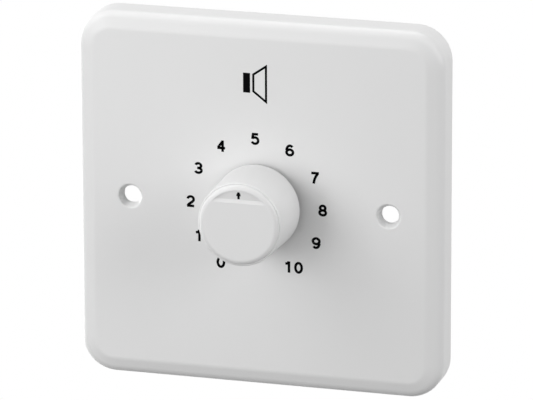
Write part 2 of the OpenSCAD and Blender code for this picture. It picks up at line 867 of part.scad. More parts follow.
// Spring wire along +X from the pocket's floor to the ball, and its outline after some turns
spring_r = ball_r - spring_wire_d;
spring_from = pocket_start + slip_fit + spring_wire_d / 2;
spring_to = ball_mid_r - sqrt(ball_r * ball_r - spring_r * spring_r) - spring_wire_d;
spring_pitch = (spring_to - spring_from) / spring_turns;
function spring_ring(t, sides) = [
    for (i = [0 : sides - 1])
        let (a = 360 * i / sides, out = spring_r + spring_wire_d / 2 * cos(a))
            [
                spring_from + spring_pitch * t + spring_wire_d / 2 * sin(a),
                out * cos(360 * t),
                out * sin(360 * t)
            ]
];

// One detent spring as a single swept wire
module detent_spring() {
    sides = 6;
    rings_a_turn = 12;
    rings = rings_a_turn * spring_turns;
    points = [for (k = [0 : rings]) each spring_ring(k / rings_a_turn, sides)];
    start = [for (i = [0 : sides - 1]) i];
    end = [for (i = [0 : sides - 1]) rings * sides + sides - 1 - i];
    skin = [
        for (k = [0 : rings - 1], i = [0 : sides - 1])
            let (j = (i + 1) % sides, a = k * sides, b = a + sides)
                each [[a + i, b + i, b + j], [a + i, b + j, a + j]]
    ];
    polyhedron(points, concat([start], [end], skin));
}

module detent_springs() {
    echo(str("Gap between the turns of a detent spring: ", spring_pitch - spring_wire_d, " mm"));
    color(steel)
        wall_frame()
            for (turn = [0, 180])
                rotate(turn)
                    translate([0, 0, rotor_mid_h])
                        detent_spring();
}

module detent_balls() {
    color(steel)
        wall_frame()
            for (side = [-1, 1])
                translate([side * ball_mid_r, 0, rotor_mid_h])
                    sphere(ball_r);
}

// Strip on the rotor's rear that joins the common ring to one tap contact
module wiper() {
    color(brass)
        wall_frame() {
            difference() {
                round_strip(common_r, tap_r, wiper_w, rotor_rear_h - wiper_t, rotor_rear_h);
                translate([0, wiper_mid_r, 0])
                    bar(wiper_peg_r + slip_fit, rotor_rear_h - wiper_t - 1, rotor_rear_h + 1);
            }
            for (y = [common_r, tap_r])
                translate([0, y, 0])
                    bar(common_w / 2, point_h, rotor_rear_h - wiper_t + cut);
        }
}

// Rear cover of the switch with a hole for each contact pin
module contact_deck() {
    color(black_plastic)
        wall_frame()
            difference() {
                union() {
                    bar(deck_r - slip_fit, housing_rear_h - cut, deck_front_h);
                    bar(switch_r, deck_rear_h, housing_rear_h);
                    switch_ears(deck_rear_h, housing_rear_h);
                }
                at_taps()
                    bar(tap_pin_d / 2 + slip_fit, deck_rear_h - 1, deck_front_h + 1);
                translate([0, -common_r, 0])
                    bar(tap_pin_d / 2 + slip_fit, deck_rear_h - 1, deck_front_h + 1);
                for (side = [-1, 1])
                    translate([side * ear_x, 0, 0])
                        bar(deck_screw_d / 2 + hole_fit, deck_rear_h - 1, housing_rear_h + 1);
            }
}

module tap_contacts() {
    color(brass)
        wall_frame()
            at_taps() {
                bar(tap_head_d / 2, deck_front_h, contact_top_h);
                bar(tap_pin_d / 2, pin_end_h, deck_front_h + cut);
            }
}

module common_contact() {
    color(brass)
        wall_frame() {
            ring(common_r + common_w / 2, common_r - common_w / 2, deck_front_h, contact_top_h);
            translate([0, -common_r, 0])
                bar(tap_pin_d / 2, pin_end_h, deck_front_h + cut);
        }
}

module deck_screws() {
    color(zinc)
        wall_frame()
            for (side = [-1, 1])
                translate([side * ear_x, 0, 0]) {
                    bar(deck_screw_d / 2, deck_rear_h - cut, deck_screw_h);
                    slotted_head(deck_head_d, deck_rear_h, deck_rear_h - deck_head_h);
                }
}

// Places its children at the transformer's middle, and at each of its pins
module at_transformer() translate([0, transformer_y, 0]) children();

module at_transformer_pins() {
    at_transformer()
        for (side = [-1, 1], i = [0 : rail_pins - 1])
            translate([side * rail_pin_x, (i - (rail_pins - 1) / 2) * transformer_pin_pitch, 0])
                children();
}

// Places its children at the clamp's four tabs
module at_clamp_tabs() {
    at_transformer()
        for (sx = [-1, 1], sy = [-1, 1])
            translate([sx * lam_unit, sy * (clamp_in_y + clamp_t / 2), 0])
                children();
}

module circuit_board() {
    color("#2f6b45")
        wall_frame()
            difference() {
                translate([-board_w / 2, -board_h / 2, board_rear_h])
                    cube([board_w, board_h, board_t]);
                at_pillars()
                    bar(board_screw_d / 2 + hole_fit, board_rear_h - 1, board_front_h + 1);
                at_taps()
                    bar(tap_pin_d / 2 + slip_fit, board_rear_h - 1, board_front_h + 1);
                translate([0, -common_r, 0])
                    bar(tap_pin_d / 2 + slip_fit, board_rear_h - 1, board_front_h + 1);
                at_transformer_pins()
                    bar(transformer_pin_d / 2 + slip_fit, board_rear_h - 1, board_front_h + 1);
                at_ways()
                    translate([0, clamp_block_y, 0])
                        bar(terminal_pin_d / 2 + slip_fit, board_rear_h - 1, board_front_h + 1);
                at_clamp_tabs()
                    translate([0, 0, board_rear_h + board_t / 2])
                        cube([tab_slot_w, tab_slot_t, board_t + 2], center = true);
            }
}

module board_screws() {
    color(zinc)
        wall_frame()
            at_pillars() {
                bar(board_screw_d / 2, board_rear_h - cut, board_screw_h);
                slotted_head(board_head_d, board_rear_h, board_rear_h - board_head_h);
            }
}

// E part of the core: a back and three legs
module core_e() {
    color(lamination)
        wall_frame()
            translate([-core_len / 2, transformer_y, core_mid_h - stack_t / 2])
                linear_extrude(stack_t)
                    difference() {
                        translate([0, -core_wid / 2])
                            square([lam_unit + window_l, core_wid]);
                        for (side = [-1, 1])
                            translate([lam_unit, side * 1.5 * lam_unit - lam_unit / 2])
                                square([window_l + 1, lam_unit]);
                    }
}

module core_i() {
    color(lamination)
        wall_frame()
            translate([core_len / 2 - lam_unit, transformer_y - core_wid / 2, core_mid_h - stack_t / 2])
                cube([lam_unit, core_wid, stack_t]);
}

// Extrudes an outline in y and z along x, both ways from the transformer's middle
module along_coil(length) {
    translate([0, transformer_y, core_mid_h])
        rotate([90, 0, 90])
            linear_extrude(length, center = true)
                children();
}

// Coil former with two flanges, and rails on short feet for the pins
module bobbin() {
    color(black_plastic)
        wall_frame()
            difference() {
                union() {
                    along_coil(2 * bobbin_half_l)
                        square([2 * tube_y, 2 * tube_h], center = true);
                    for (side = [-1, 1]) {
                        translate([side * (bobbin_half_l - bobbin_wall / 2), 0, 0])
                            along_coil(bobbin_wall)
                                square([2 * flange_y, 2 * flange_half_h], center = true);
                        bobbin_rail(side);
                    }
                }
                along_coil(2 * core_len)
                    square([2 * (tube_y - bobbin_wall), 2 * (tube_h - bobbin_wall)], center = true);
                at_transformer_pins()
                    bar(transformer_pin_d / 2 + slip_fit, pin_floor_h, rail_front_h + 1);
            }
}

// Rail for the pins at one end of the bobbin, with a foot at each corner
module bobbin_rail(side) {
    rail_in = bobbin_half_l - bobbin_wall;
    rail_w = bobbin_wall + rail_reach;
    foot_w = bobbin_foot_l / 2;
    translate([side > 0 ? rail_in : -rail_in - rail_w, transformer_y - flange_y, rail_front_h - rail_t])
        cube([rail_w, 2 * flange_y, rail_t]);
    for (up = [0, 1])
        translate([
            side > 0 ? rail_in + rail_w - bobbin_foot_l : -rail_in - rail_w,
            transformer_y - flange_y + up * (2 * flange_y - foot_w),
            rail_front_h - cut
        ])
            cube([bobbin_foot_l, foot_w, bobbin_foot_h + cut]);
}

module winding() {
    color("#a9592c")
        wall_frame()
            along_coil(2 * (bobbin_half_l - bobbin_wall - slip_fit))
                difference() {
                    round_square([2 * coil_y, 2 * coil_h], winding_build / 2);
                    square([2 * (tube_y + slip_fit), 2 * (tube_h + slip_fit)], center = true);
                }
}

// Tape round the winding, a little narrower than the coil
module winding_tape() {
    in = slip_fit;
    out = slip_fit + tape_t;
    color("#e0c04a")
        wall_frame()
            along_coil(2 * (bobbin_half_l - bobbin_wall - tape_bare))
                difference() {
                    round_square([2 * (coil_y + out), 2 * (coil_h + out)], winding_build / 2 + out);
                    round_square([2 * (coil_y + in), 2 * (coil_h + in)], winding_build / 2 + in);
                }
}

// Strap round three sides of the core, with lips on the fourth and tabs through the board
module core_clamp() {
    out_x = clamp_in_x + clamp_t;
    out_y = clamp_in_y + clamp_t;
    color(steel)
        wall_frame() {
            at_transformer()
                translate([0, 0, core_mid_h - stack_t / 2])
                    linear_extrude(stack_t)
                        difference() {
                            square([2 * out_x, 2 * out_y], center = true);
                            square([2 * clamp_in_x, 2 * clamp_in_y], center = true);
                            translate([-out_x - 1, -clamp_in_y + clamp_lip])
                                square([clamp_t + 2, 2 * (clamp_in_y - clamp_lip)]);
                        }
            at_clamp_tabs()
                translate([-clamp_tab_w / 2, -clamp_t / 2, core_mid_h + stack_t / 2 - cut])
                    cube([clamp_tab_w, clamp_t, front_pin_end_h - core_mid_h - stack_t / 2]);
        }
}

module transformer_pins() {
    color(zinc)
        wall_frame()
            at_transformer_pins()
                bar(transformer_pin_d / 2, pin_floor_h + slip_fit, front_pin_end_h);
}

// Terminal block: wire entries from below, screws from behind, pins to the board
module terminal_housing() {
    color("#3d6d3a")
        wall_frame()
            difference() {
                rotate([90, 0, 90])
                    linear_extrude(terminal_w, center = true)
                        polygon([
                            [terminal_low_y, board_rear_h],
                            [terminal_low_y + terminal_l, board_rear_h],
                            [terminal_low_y + terminal_l, terminal_rear_h],
                            [terminal_low_y + terminal_slope_l, terminal_rear_h],
                            [terminal_low_y, terminal_rear_h + terminal_slope_h]
                        ]);
                at_ways() {
                    translate([-entry_w / 2, terminal_low_y - 1, entry_mid_h - entry_w / 2])
                        cube([entry_w, entry_l + 1, entry_w]);
                    translate([0, clamp_block_y, 0]) {
                        bar(terminal_head_d / 2 + hole_fit, terminal_rear_h - 1, entry_mid_h);
                        bar(terminal_pin_d / 2 + slip_fit, entry_mid_h, board_rear_h + 1);
                    }
                }
            }
}

module terminal_clamps() {
    color(brass)
        wall_frame()
            at_ways()
                translate([0, clamp_block_y, entry_mid_h])
                    difference() {
                        cube([clamp_block_w, clamp_block_l, clamp_block_w], center = true);
                        rotate([90, 0, 0])
                            cylinder(d = wire_hole_d, h = clamp_block_l + 2, center = true);
                        bar(terminal_screw_d / 2 + slip_fit, -clamp_block_w, 0);
                    }
}

module terminal_screws() {
    color(zinc)
        wall_frame()
            at_ways()
                translate([0, clamp_block_y, 0]) {
                    bar(terminal_screw_d / 2, terminal_seat_h - cut, entry_mid_h - wire_hole_d / 2);
                    slotted_head(terminal_head_d, terminal_seat_h, terminal_seat_h - terminal_head_h);
                }
}

module terminal_pins() {
    color(zinc)
        wall_frame()
            at_ways()
                translate([0, clamp_block_y, 0])
                    bar(terminal_pin_d / 2, entry_mid_h + clamp_block_w / 2, front_pin_end_h);
}

front_plate();
knob_body();
knob_cap();
knob_collet();
collet_nut();
spindle();
spindle_clip();
bush_nut();
bush_washer();
switch_bush();
stop_ring();
switch_housing();
rotor();
detent_springs();
detent_balls();
wiper();
contact_deck();
tap_contacts();
common_contact();
deck_screws();
circuit_board();
board_screws();
core_e();
core_i();
bobbin();
winding();
winding_tape();
core_clamp();
transformer_pins();
terminal_housing();
terminal_clamps();
terminal_screws();
terminal_pins();
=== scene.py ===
"""Looks of a speaker volume control: its finishes, its printed dial and its soldered board.

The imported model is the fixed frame. Everything here is in metres, in that frame: the wall plane is
y = 0, the front faces -Y and +Z is up. Sizes of small things are written in millimetres.
"""
import math

import bmesh
import bpy
from bpy.props import FloatProperty, FloatVectorProperty, IntProperty, PointerProperty
from mathutils import Matrix, Vector


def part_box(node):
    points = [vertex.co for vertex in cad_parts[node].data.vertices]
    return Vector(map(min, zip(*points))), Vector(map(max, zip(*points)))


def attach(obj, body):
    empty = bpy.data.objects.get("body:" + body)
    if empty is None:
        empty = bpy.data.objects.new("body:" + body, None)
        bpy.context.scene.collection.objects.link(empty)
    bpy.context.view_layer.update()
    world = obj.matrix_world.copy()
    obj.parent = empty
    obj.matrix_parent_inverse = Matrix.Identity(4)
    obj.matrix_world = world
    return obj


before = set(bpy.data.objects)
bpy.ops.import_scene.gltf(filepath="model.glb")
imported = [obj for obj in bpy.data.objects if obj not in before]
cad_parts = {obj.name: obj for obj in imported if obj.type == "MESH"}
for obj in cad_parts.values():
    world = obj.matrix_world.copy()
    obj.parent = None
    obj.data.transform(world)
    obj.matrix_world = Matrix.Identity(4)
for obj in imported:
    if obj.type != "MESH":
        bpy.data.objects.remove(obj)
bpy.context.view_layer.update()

bl_info = {
    "name": "Speaker volume control",
    "version": (1, 0, 0),
    "blender": (4, 5, 0),
    "location": "View3D > Sidebar > Volume control",
    "description": "Dresses the packed volume control: finishes, printed dial, board and stage",
    "category": "Object",
}

MM = 0.001
PLATE_LOW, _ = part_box("front_plate")
CAP_LOW, CAP_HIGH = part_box("knob_cap")
BOARD_LOW, BOARD_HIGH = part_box("circuit_board")

# How far each number from 0 to 10 stands off its place on the ring, sideways and upwards in mm.
NUDGES = (
    (0.1, -0.17), (-0.17, -0.23), (0.17, -0.06), (-0.05, 0.04), (-0.37, -0.13), (-0.27, 0.03),
    (-0.02, 0.07), (0.07, -0.14), (-0.18, 0.2), (0.39, 0.26), (0, 0))
# Corners in mm about the middle of the symbol: its filled block and its open horn.
BLOCK = ((-3.4, -2.29), (-1.77, -2.29), (-1.77, 2.27), (-3.4, 2.27))
HORN = ((-1.27, -2.0), (2.17, -4.65), (2.17, 4.49), (-1.27, 2.1))
# Corners of the pointer's arrow in mm about its middle.
ARROW = (
    (-0.27, -0.82), (0.27, -0.82), (0.27, -0.08), (0.52, -0.08), (0.44, 0.34), (0.2, 0.82),
    (-0.2, 0.82), (-0.44, 0.34), (-0.52, -0.08), (-0.27, -0.08))
# Heights in mm above the knob's axis at which the tracks leave the line of their terminals.
INNER_BEND, OUTER_BEND = -14, -17.5
# Heights in mm at which the two inner tracks come in line with the common pin and a tap pin.
COMMON_BEND, TAP_BEND = -10, -10.5
# Further bends of an outer track in mm to the side of the knob's axis and above it.
OUTER_ROUTE = ((12.5, -12.6), (17.2, -8), (17.2, 6))
# How far in mm the last bend of an outer track cuts its corner.
OUTER_CUT = 1.8
# A solder joint's hollow side: shares of its height, and of the way from the pin to its edge.
FILLET = (
    (-0.12, 1.0), (0.02, 1.0), (0.12, 0.8), (0.26, 0.53), (0.45, 0.32), (0.7, 0.17), (1.0, 0.08))
# Where the soft boxes stand, in degrees to the right of the front and above the horizon.
LAMPS = (
    ("front", -18, -2), ("key", -35, 10), ("left", -62, 26), ("upper", -70, 50),
    ("top", -170, 70), ("right", 70, 24), ("side", 90, 10), ("back", -120, -6))
# The floor's glow round the part, where it leaves room for a shadow, and past its outer radius.
FLOOR_GLOW = (0.85, 1.0)
# The shares of the floor's size between which that glow rises.
FLOOR_FADE = (0.3, 0.7)
NEAR_CLIP = 10 * MM
# Degrees between two points of a curved stroke.
ARC_STEP = 12
# Least cosine of half a bend, so that a sharp bend of a ribbon doesn't grow a spike.
MITRE_LIMIT = 0.5
# A path whose ends lie within this share of its ribbon's width is closed.
CLOSED_WITHIN = 0.01
JOINT_SIDES = 20
MERGE_WITHIN = 0.001 * MM
FLOOR_SIDES = 96
# Radians of a wave texture's phase for each unit of its scaled coordinate.
WAVE_PHASE = 20


def linear(code):
    """Turns an sRGB hex colour into linear values."""
    parts = [int(code[i:i + 2], 16) / 255 for i in (1, 3, 5)]
    return tuple(p / 12.92 if p <= 0.04045 else ((p + 0.055) / 1.055) ** 2.4 for p in parts)


def size(name, description, default_mm):
    """A length property with its default in millimetres."""
    return FloatProperty(
        name=name, description=description, default=default_mm * MM, unit="LENGTH", precision=5)


def angle(name, description, degrees):
    """An angle property with its default in degrees."""
    return FloatProperty(
        name=name, description=description, default=math.radians(degrees), subtype="ANGLE")


def power(name, description, watts):
    """A lamp's power."""
    return FloatProperty(name=name, description=description, default=watts, min=0, unit="POWER")


def count(name, description, default):
    """A number of like things."""
    return IntProperty(name=name, description=description, default=default, min=1)


def colour(name, description, code):
    """A colour property with its default as sRGB hex."""
    return FloatVectorProperty(
        name=name, description=description, default=linear(code), subtype="COLOR", min=0, max=1)


class DialSizes(bpy.types.PropertyGroup):
    """Sizes of what is printed on the plate and the cap."""

    ring: size("Number ring", "Radius of the ring that the numbers stand on", 15.58)
    shift: size("Ring shift", "Step of that ring to the left of the knob's axis", 0.4)
    step: angle("Step", "Angle between two numbers", 30)
    end_ring: size("End ring", "Radius at which the first and the last number stand", 16.1)
    end_turn: angle("End turn", "Angle of the first and the last number from the top", 148)
    highest: count("Highest number", "The dial runs from 0 to this number", 10)
    stroke: size("Stroke", "Width of a number's strokes", 0.6)
    gap: size("Number spacing", "Distance between the digits of the last number", 2.46)
    ink: size("Ink", "Thickness of the printed ink above the plastic", 0.012)
    symbol_up: size("Symbol height", "Middle of the loudspeaker above the knob's axis", 28.5)
    symbol_line: size("Symbol line", "Width of the symbol's outline", 0.5)
    arrow_up: size("Arrow height", "Middle of the arrow above the knob's axis", 6.8)
    floor_low: size("Pointer floor", "Lower end of the sloped floor above the knob's axis", 5.85)
    floor_depth: size("Pointer depth", "Depth of that floor at its lower end", 0.3)


class BoardSizes(bpy.types.PropertyGroup):
    """Sizes of the tracks and solder joints on the board."""

    track: size("Track width", "Width of a copper track", 1.1)
    lift: size("Track height", "Height of a track above the board", 0.05)
    pad: size("Solder width", "Radius of a solder joint on the board", 0.95)
    rise: size("Solder height", "Height of a solder joint", 0.62)
    taps: count("Tap pins", "Number of the switch's tap pins", 11)
    tap_step: angle("Tap step", "Angle between two tap pins", 30)
    tap_ring: size("Tap ring", "Radius of the ring of tap pins", 9.0)
    tap_pin: size("Tap pin", "Radius of a pin of the switch", 0.5)
    common_down: size("Common pin", "Distance of the common pin below the knob's axis", 5.4)
    coil_pins: count("Transformer pins", "Number of the transformer's pins on each side", 6)
    coil_side: size("Transformer row", "Distance of the transformer's pins from the middle", 9.45)
    coil_up: size("Transformer height", "Middle of those pins above the knob's axis", 9.8)
    coil_pitch: size("Transformer pitch", "Distance between two of those pins", 3.2)
    coil_pin: size("Transformer pin", "Radius of one of those pins", 0.45)
    ways: count("Terminals", "Number of the terminals", 4)
    way_pitch: size("Terminal pitch", "Distance between two terminals", 5.08)
    way_down: size("Terminal depth", "Distance of their pins below the knob's axis", 24.96)
    way_pin: size("Terminal pin", "Radius of one of those pins", 0.6)


class FinishColours(bpy.types.PropertyGroup):
    """Colours of the materials."""

    white: colour("White plastic", "Plate, knob and cap", "#e4e4e4")
    ink: colour("Ink", "Printed numbers and signs", "#040405")
    brass: colour("Brass", "Collet, contacts and wire clamps", "#d2b06a")
    steel: colour("Steel", "Spindle, clip, stop ring, springs and core clamp", "#9a9c9f")
    zinc: colour("Zinc", "Nut, bush, screws and pins", "#c9cccf")
    black: colour("Black plastic", "Switch housing, deck and bobbin", "#232325")
    cream: colour("Cream plastic", "Rotor", "#d9d2bd")
    board: colour("Solder resist", "Circuit board", "#1f5a37")
    iron: colour("Laminations", "Transformer core", "#53565a")
    copper: colour("Copper wire", "Winding", "#b5663a")
    tape: colour("Tape", "Tape round the winding", "#dcb93c")
    green: colour("Green plastic", "Terminal block", "#3b7a3f")
    solder: colour("Solder", "Solder joints", "#c3c5c8")


class StageSettings(bpy.types.PropertyGroup):
    """Camera, light and floor."""

    azimuth: angle("Azimuth", "Camera to the right of the front", 16.46)
    elevation: angle("Elevation", "Camera above the horizon", 16.55)
    roll: angle("Roll", "Turn of the camera about its view", -0.23)
    distance: size("Distance", "Camera to the plate's middle", 1177.3)
    focal: FloatProperty(
        name="Focal length", description="Focal length in picture widths", default=9.798)
    aim_right: size("Aim sideways", "Sideways step of the camera", -0.552)
    aim_up: size("Aim upwards", "Upward step of the camera", -0.933)
    floor_drop: size("Floor", "Depth of the floor below the knob's axis", 350)
    floor_size: size("Floor size", "Radius of the floor", 800)
    floor_grey: colour("Floor grey", "Matt grey of the floor under its glow", "#6c6c6c")
    ambient: FloatProperty(
        name="Surrounding light", description="Light from all round", default=0.2, min=0)
    box: size("Soft box", "Width of a soft box", 350)
    reach: size("Soft box distance", "Distance of a soft box from the frame's origin", 700)
    front: power("Front light", "Power of the soft box in front of the plate", 0.82)
    key: power("Key light", "Power of the soft box in front, to the left", 1.5)
    left: power("Left light", "Power of the soft box at the left", 1.12)
    upper: power("Upper left light", "Power of the soft box above the left side", 1.1)
    top: power("Top light", "Power of the soft box above the plate, behind it", 1.5)
    right: power("Right light", "Power of the soft box at the upper right", 1.65)
    side: power("Side light", "Power of the soft box that lights the right edge", 1.05)
    back: power("Back light", "Power of the soft box behind the plate", 2.0)


class VolumeControl(bpy.types.PropertyGroup):
    """All settings of the volume control."""

    dial: PointerProperty(type=DialSizes, name="Dial", description="Printed dial")
    board: PointerProperty(type=BoardSizes, name="Board", description="Tracks and solder")
    colours: PointerProperty(type=FinishColours, name="Colours", description="Material colours")
    stage: PointerProperty(type=StageSettings, name="Stage", description="Camera, light and floor")


def settings():
    """The scene's own settings."""
    return bpy.context.scene.volume_control


def fill(tree, node, inputs):
    """Sets a shader node's inputs, or links them where the value is another node's output."""
    for key, value in inputs.items():
        if isinstance(value, bpy.types.NodeSocket):
            tree.links.new(value, node.inputs[key])
        else:
            node.inputs[key].default_value = value


def add(tree, kind, inputs=None, **own):
    """Adds one shader node with its own settings and its inputs."""
    made = tree.nodes.new(kind)
    for key, value in own.items():
        setattr(made, key, value)
    fill(tree, made, inputs or {})
    return made


def per_mm(millimetres):
    """Scale at which the lumps of a noise measure a real size."""
    return 1 / (millimetres * MM)


def waves_per_mm(millimetres):
    """Scale at which a wave texture repeats after a real size."""
    return math.tau / WAVE_PHASE / (millimetres * MM)


def surface(name):
    """An empty node material: its tree, its object coordinates and its shader."""
    material = bpy.data.materials.new(name)
    material.use_nodes = True
    tree = material.node_tree
    tree.nodes.clear()
    shader = add(tree, "ShaderNodeBsdfPrincipled")
    add(tree, "ShaderNodeOutputMaterial", {"Surface": shader.outputs["BSDF"]})
    place = add(tree, "ShaderNodeTexCoord").outputs["Object"]
    return material, tree, place, shader


def shade(rgb, factor=1):
    """A lighter or darker form of a colour, as the four values of a socket."""
    return (*(min(1.0, max(0.0, c * factor)) for c in rgb[:3]), 1)


def moulded(name, rgb, roughness, grain_mm, depth_mm, ior=1.53):
    """Injection-moulded plastic: an even colour with slow flow marks.

    The fine grain of an eroded tool softens its highlights. It is about 0.1 mm wide in reality
    and is drawn coarser, so that it shows.
    """
    material, tree, place, shader = surface(name)
    flow = add(tree, "ShaderNodeTexNoise", {"Vector": place, "Scale": per_mm(22), "Detail": 2.0})
    grain = add(tree, "ShaderNodeTexNoise", {
        "Vector": place, "Scale": per_mm(grain_mm), "Detail": 3.0})
    tint = add(tree, "ShaderNodeMix", {
        0: flow.outputs["Fac"], 6: shade(rgb, 0.985), 7: shade(rgb, 1.015)}, data_type="RGBA")
    gloss = add(tree, "ShaderNodeMapRange", {
        "Value": grain.outputs["Fac"], "To Min": roughness - 0.05, "To Max": roughness + 0.05})
    bump = add(tree, "ShaderNodeBump", {
        "Height": grain.outputs["Fac"], "Strength": 0.35, "Distance": depth_mm * MM})
    fill(tree, shader, {
        "Base Color": tint.outputs[2], "Roughness": gloss.outputs["Result"],
        "Normal": bump.outputs["Normal"], "IOR": ior})
    return material


def turned_metal(name, rgb, roughness, pitch_mm):
    """Metal turned on a lathe: rings round the knob's axis that stretch the highlights.

    The tool's real marks, about 0.15 mm apart, are too fine to show, so they are drawn coarser.
    """
    material, tree, place, shader = surface(name)
    turned = add(tree, "ShaderNodeMapping", {
        "Vector": place, "Rotation": (math.radians(90), 0, 0)})
    rings = add(tree, "ShaderNodeTexWave", {
        "Vector": turned.outputs["Vector"], "Scale": waves_per_mm(pitch_mm), "Distortion": 1.5,
        "Detail": 2.0}, wave_type="RINGS", rings_direction="Z")
    marks = add(tree, "ShaderNodeTexNoise", {"Vector": place, "Scale": per_mm(3), "Detail": 4.0})
    tint = add(tree, "ShaderNodeMix", {
        0: marks.outputs["Fac"], 6: shade(rgb, 0.86), 7: shade(rgb, 1.06)}, data_type="RGBA")
    gloss = add(tree, "ShaderNodeMapRange", {
        "Value": marks.outputs["Fac"], "To Min": roughness - 0.07, "To Max": roughness + 0.09})
    bump = add(tree, "ShaderNodeBump", {
        "Height": rings.outputs["Fac"], "Strength": 0.3, "Distance": 0.01 * MM})
    fill(tree, shader, {
        "Base Color": tint.outputs[2], "Roughness": gloss.outputs["Result"],
        "Normal": bump.outputs["Normal"], "Metallic": 1.0})
    return material


def rolled_metal(name, rgb, roughness, grain_mm, stretch=(1, 1, 1)):
    """Rolled, stamped or plated metal, or solder: short marks, with duller patches between.

    Such marks are under 0.1 mm wide in reality and are drawn coarser, so that they show.
    """
    material, tree, place, shader = surface(name)
    drawn = add(tree, "ShaderNodeMapping", {"Vector": place, "Scale": stretch})
    marks = add(tree, "ShaderNodeTexNoise", {
        "Vector": drawn.outputs["Vector"], "Scale": per_mm(grain_mm), "Detail": 3.0,
        "Roughness": 0.6})
    patches = add(tree, "ShaderNodeTexNoise", {"Vector": place, "Scale": per_mm(5), "Detail": 3.0})
    tint = add(tree, "ShaderNodeMix", {
        0: patches.outputs["Fac"], 6: shade(rgb, 0.84), 7: shade(rgb, 1.05)}, data_type="RGBA")
    gloss = add(tree, "ShaderNodeMapRange", {
        "Value": marks.outputs["Fac"], "To Min": roughness - 0.08, "To Max": roughness + 0.1})
    bump = add(tree, "ShaderNodeBump", {
        "Height": marks.outputs["Fac"], "Strength": 0.25, "Distance": 0.02 * MM})
    fill(tree, shader, {
        "Base Color": tint.outputs[2], "Roughness": gloss.outputs["Result"],
        "Normal": bump.outputs["Normal"], "Metallic": 1.0})
    return material


def layered(name, rgb, pitch_mm, direction, roughness, metallic, depth_mm):
    """Thin layers side by side, such as laminations or turns of wire: dark lines between them.

    Real laminations are 0.5 mm thick and the wire 0.35 mm. Both are drawn coarser, to show.
    """
    material, tree, place, shader = surface(name)
    bands = add(tree, "ShaderNodeTexWave", {
        "Vector": place, "Scale": waves_per_mm(pitch_mm), "Distortion": 0.25, "Detail": 2.0,
        "Detail Scale": 3.0}, wave_type="BANDS", bands_direction=direction, wave_profile="SIN")
    lines = add(tree, "ShaderNodeMapRange", {
        "Value": bands.outputs["Fac"], "From Min": 0.05, "From Max": 0.45})
    patches = add(tree, "ShaderNodeTexNoise", {"Vector": place, "Scale": per_mm(4), "Detail": 3.0})
    body = add(tree, "ShaderNodeMix", {
        0: patches.outputs["Fac"], 6: shade(rgb, 0.8), 7: shade(rgb, 1.1)}, data_type="RGBA")
    tint = add(tree, "ShaderNodeMix", {
        0: lines.outputs["Result"], 6: shade(rgb, 0.22), 7: body.outputs[2]}, data_type="RGBA")
    gloss = add(tree, "ShaderNodeMapRange", {
        "Value": patches.outputs["Fac"], "To Min": roughness - 0.08, "To Max": roughness + 0.08})
    bump = add(tree, "ShaderNodeBump", {
        "Height": lines.outputs["Result"], "Strength": 0.6, "Distance": depth_mm * MM})
    fill(tree, shader, {
        "Base Color": tint.outputs[2], "Roughness": gloss.outputs["Result"],
        "Normal": bump.outputs["Normal"], "Metallic": metallic})
    return material


def solder_resist(name, rgb):
    """Glass-fibre board under green resist: glossy, with the cloth's weave faintly showing.

    The cloth's threads lie about 0.7 mm apart. They are drawn coarser, so that they show.
    """
    material, tree, place, shader = surface(name)
    threads = [
        add(tree, "ShaderNodeTexWave", {
            "Vector": place, "Scale": waves_per_mm(1.4), "Distortion": 0.6}, bands_direction=way)
        for way in "XZ"]
    weave = add(tree, "ShaderNodeMath", {
        0: threads[0].outputs["Fac"], 1: threads[1].outputs["Fac"]}, operation="MULTIPLY")
    cloud = add(tree, "ShaderNodeTexNoise", {"Vector": place, "Scale": per_mm(9), "Detail": 3.0})
    deep = add(tree, "ShaderNodeMix", {
        0: cloud.outputs["Fac"], 6: shade(rgb, 0.82), 7: shade(rgb, 1.12)}, data_type="RGBA")
    tint = add(tree, "ShaderNodeMix", {
        0: weave.outputs["Value"], 6: deep.outputs[2], 7: shade(rgb, 1.3)}, data_type="RGBA")
    bump = add(tree, "ShaderNodeBump", {
        "Height": weave.outputs["Value"], "Strength": 0.15, "Distance": 0.01 * MM})
    fill(tree, shader, {
        "Base Color": tint.outputs[2], "Normal": bump.outputs["Normal"], "Roughness": 0.3,
        "IOR": 1.5})
    return material


def printed_ink(name, rgb):
    """Pad-printed ink: nearly black and matt, so that it hardly mirrors, and thinner in places."""
    material, tree, place, shader = surface(name)
    cover = add(tree, "ShaderNodeTexNoise", {"Vector": place, "Scale": per_mm(0.5), "Detail": 3.0})
    tint = add(tree, "ShaderNodeMix", {
        0: cover.outputs["Fac"], 6: shade(rgb), 7: shade(rgb, 1.7)}, data_type="RGBA")
    gloss = add(tree, "ShaderNodeMapRange", {
        "Value": cover.outputs["Fac"], "To Min": 0.5, "To Max": 0.65})
    fill(tree, shader, {
        "Base Color": tint.outputs[2], "Roughness": gloss.outputs["Result"],
        "Specular IOR Level": 0.02})
    return material


def film_tape(name, rgb):
    """Polyester film tape: clear gloss over a yellow back, with creases across the winding."""
    material, tree, place, shader = surface(name)
    pulled = add(tree, "ShaderNodeMapping", {"Vector": place, "Scale": (0.25, 1, 1)})
    creases = add(tree, "ShaderNodeTexNoise", {
        "Vector": pulled.outputs["Vector"], "Scale": per_mm(2.2), "Detail": 4.0})
    tint = add(tree, "ShaderNodeMix", {
        0: creases.outputs["Fac"], 6: shade(rgb, 0.8), 7: shade(rgb, 1.12)}, data_type="RGBA")
    bump = add(tree, "ShaderNodeBump", {
        "Height": creases.outputs["Fac"], "Strength": 0.5, "Distance": 0.08 * MM})
    fill(tree, shader, {
        "Base Color": tint.outputs[2], "Normal": bump.outputs["Normal"], "Roughness": 0.22,
        "Coat Weight": 0.4, "Coat Roughness": 0.12})
    return material


